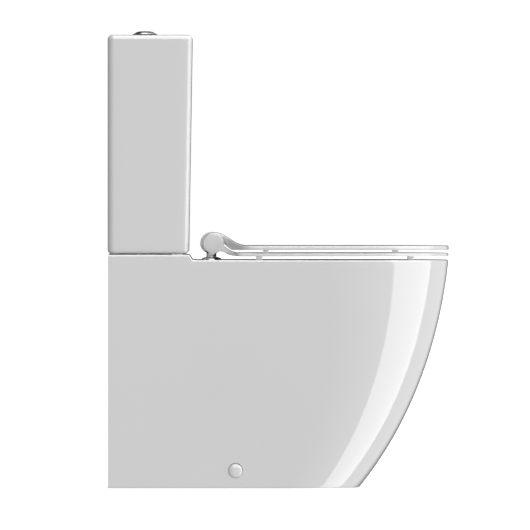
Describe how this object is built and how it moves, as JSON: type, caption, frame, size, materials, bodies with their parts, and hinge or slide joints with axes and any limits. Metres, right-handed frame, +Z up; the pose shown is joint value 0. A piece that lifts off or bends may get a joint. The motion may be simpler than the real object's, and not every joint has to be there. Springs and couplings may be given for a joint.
{
  "type": "close coupled toilet",
  "caption": "Back to wall close coupled toilet with cistern, dual push flush, fill valve, and soft closing seat and lid on barrel hinges.",
  "frame": {"origin": "centre of the overall box in plan, on the floor", "axes": "+Z up; the toilet faces -Y and its back is against a wall at the +Y end; X runs across"},
  "size_m": [0.36, 0.631, 0.8452],
  "materials": {
    "china": "glossy white glaze",
    "seat_plastic": "glossy white thermoset",
    "chrome": "mirror",
    "valve_plastic": "satin moulded",
    "grey_plastic": "satin moulded",
    "rubber": "matt",
    "buffer_rubber": "soft white",
    "brass": "machined",
    "steel": "bright"
  },
  "bodies": {
    "fixed": {"pan": "china", "cistern": "china", "fixing_caps": "seat_plastic", "hinge_posts": "chrome", "hinge_rosettes": "chrome", "hinge_heads": "chrome", "flush_valve_base": "valve_plastic", "flush_valve_tower": "valve_plastic", "valve_backnut": "valve_plastic", "fill_valve_riser": "valve_plastic", "fill_valve_backnut": "valve_plastic", "fill_valve_head": "valve_plastic", "inlet_plug": "valve_plastic", "stud_nuts": "valve_plastic", "damper_cartridges": "grey_plastic", "floor_brackets": "grey_plastic", "valve_seal_washer": "rubber", "coupling_gasket": "rubber", "fill_valve_washer": "rubber", "bolt_rubbers": "rubber", "cistern_pads": "rubber", "stud_bushes": "rubber", "cistern_bolts": "brass", "wing_nuts": "brass", "bolt_washers": "brass", "rocker_pin": "steel", "lever_pin": "steel", "hinge_pins": "steel", "seat_studs": "steel", "side_screws": "steel"},
    "seat": {"seat_ring": "seat_plastic", "seat_buffers": "buffer_rubber"},
    "lid": {"seat_lid": "seat_plastic", "lid_buffers": "buffer_rubber"},
    "cistern_cover": {"cistern_lid": "china", "button_bezel": "chrome", "button_locknut": "valve_plastic"},
    "full_button": {"full_flush_button": "chrome", "full_flush_rod": "valve_plastic"},
    "half_button": {"half_flush_button": "chrome", "half_flush_rod": "valve_plastic"},
    "flush_tube": {"overflow_tube": "grey_plastic", "flush_seal": "rubber", "flush_float": "grey_plastic"},
    "full_rocker_arm": {"full_rocker": "grey_plastic"},
    "half_rocker_arm": {"half_rocker": "grey_plastic"},
    "float": {"float_cup": "grey_plastic", "float_link": "steel"},
    "float_arm": {"float_lever": "grey_plastic", "level_screw": "grey_plastic"}
  },
  "joints": [
    {"name": "seat_lift", "type": "hinge", "parent": "fixed", "child": "seat", "pos_m": [0, 0.1201, 0.4523], "axis": [-1, 0, 0], "range_deg": [0, 95]},
    {"name": "lid_lift", "type": "hinge", "parent": "seat", "child": "lid", "pos_m": [0, 0.1201, 0.4523], "axis": [1, 0, 0], "range_deg": [-95, 0]},
    {"name": "cistern_lid_lift", "type": "slide", "parent": "fixed", "child": "cistern_cover", "axis": [0, 0, 1], "range_m": [0, 0.1]},
    {"name": "full_flush_press", "type": "slide", "parent": "cistern_cover", "child": "full_button", "axis": [0, 0, -1], "range_m": [0, 0.006], "stiffness_N_per_m": 900, "springref_m": -0.002},
    {"name": "half_flush_press", "type": "slide", "parent": "cistern_cover", "child": "half_button", "axis": [0, 0, -1], "range_m": [0, 0.006], "stiffness_N_per_m": 900, "springref_m": -0.002},
    {"name": "float_rise", "type": "slide", "parent": "fixed", "child": "float", "axis": [0, 0, 1], "range_m": [0, 0.012]},
    {"name": "flush_tube_lift", "type": "slide", "parent": "fixed", "child": "flush_tube", "axis": [0, 0, 1], "range_m": [0, 0.018]},
    {"name": "full_rocker_tilt", "type": "hinge", "parent": "fixed", "child": "full_rocker_arm", "pos_m": [0, 0.252, 0.772], "axis": [0, -1, 0], "range_deg": [0, 27]},
    {"name": "half_rocker_tilt", "type": "hinge", "parent": "fixed", "child": "half_rocker_arm", "pos_m": [0, 0.243, 0.772], "axis": [0, 1, 0], "range_deg": [0, 27]},
    {"name": "float_arm_tilt", "type": "hinge", "parent": "fixed", "child": "float_arm", "pos_m": [0.125, 0.2575, 0.733], "axis": [-1, 0, 0], "range_deg": [0, 19.2]}
  ],
  "couplings": [
    {"joint": "flush_tube_lift", "follows": "full_flush_press", "ratio": 3},
    {"joint": "full_rocker_tilt", "follows": "full_flush_press", "rad_per_m": 78},
    {"joint": "half_rocker_tilt", "follows": "half_flush_press", "rad_per_m": 78},
    {"joint": "float_arm_tilt", "follows": "float_rise", "rad_per_m": 27.8}
  ]
}
